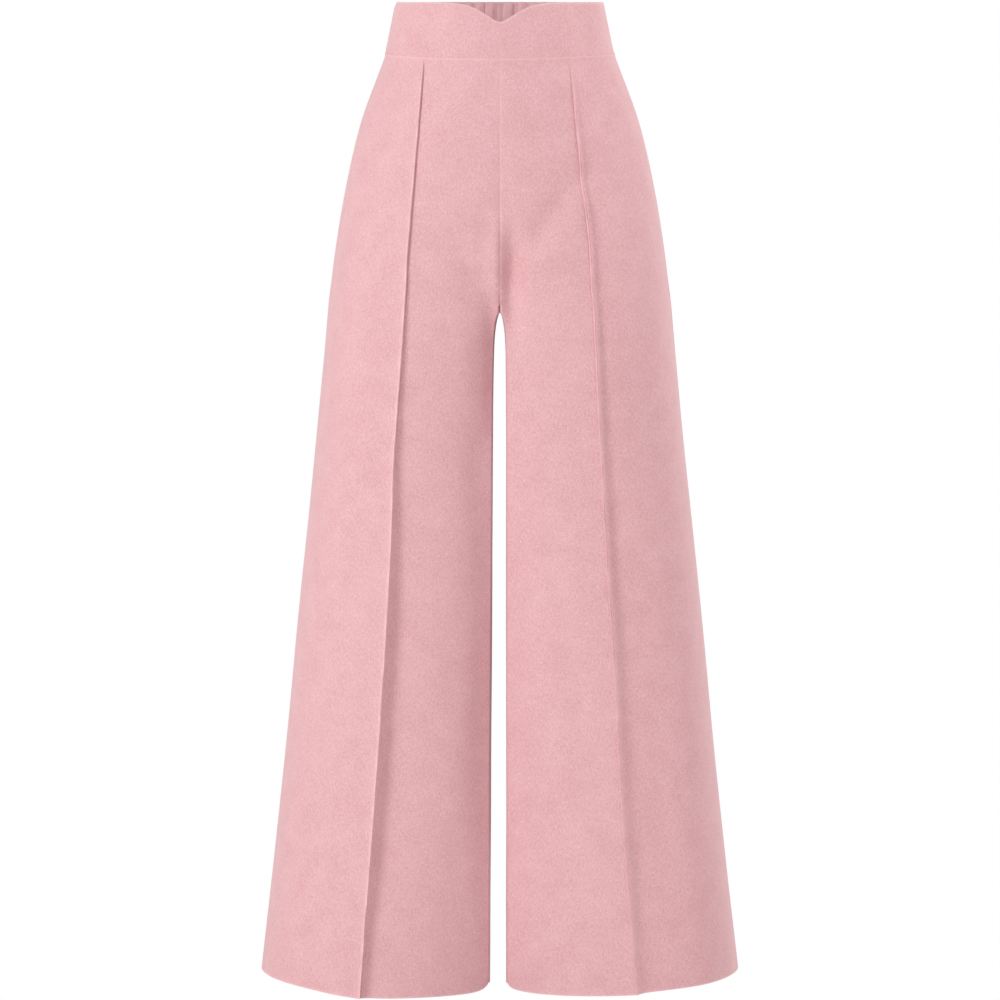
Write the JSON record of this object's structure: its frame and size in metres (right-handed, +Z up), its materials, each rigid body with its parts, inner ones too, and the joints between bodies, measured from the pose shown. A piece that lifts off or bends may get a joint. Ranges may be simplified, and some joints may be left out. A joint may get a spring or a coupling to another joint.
{
  "type": "palazzo pants",
  "caption": "High-waisted wide-leg palazzo pants in pink brushed crepe, with a V-notched front waistband, a gathered elastic back and a pin tuck down each leg.",
  "frame": {"origin": "middle of the waist opening, half way up the waistband at the side seams", "axes": "+Z up out of the waist, -Y the way the front faces, +X the wearer's left; the legs hang down -Z"},
  "size_m": [0.5368, 0.2495, 1.1186],
  "materials": {
    "brushed_crepe": "matte brushed",
    "brushed_crepe_band": "matte brushed"
  },
  "bodies": {
    "root": {"waistband_front": "brushed_crepe_band", "waistband_back": "brushed_crepe_band", "front_left": "brushed_crepe", "front_right": "brushed_crepe", "back_left": "brushed_crepe", "back_right": "brushed_crepe"}
  },
  "joints": []
}
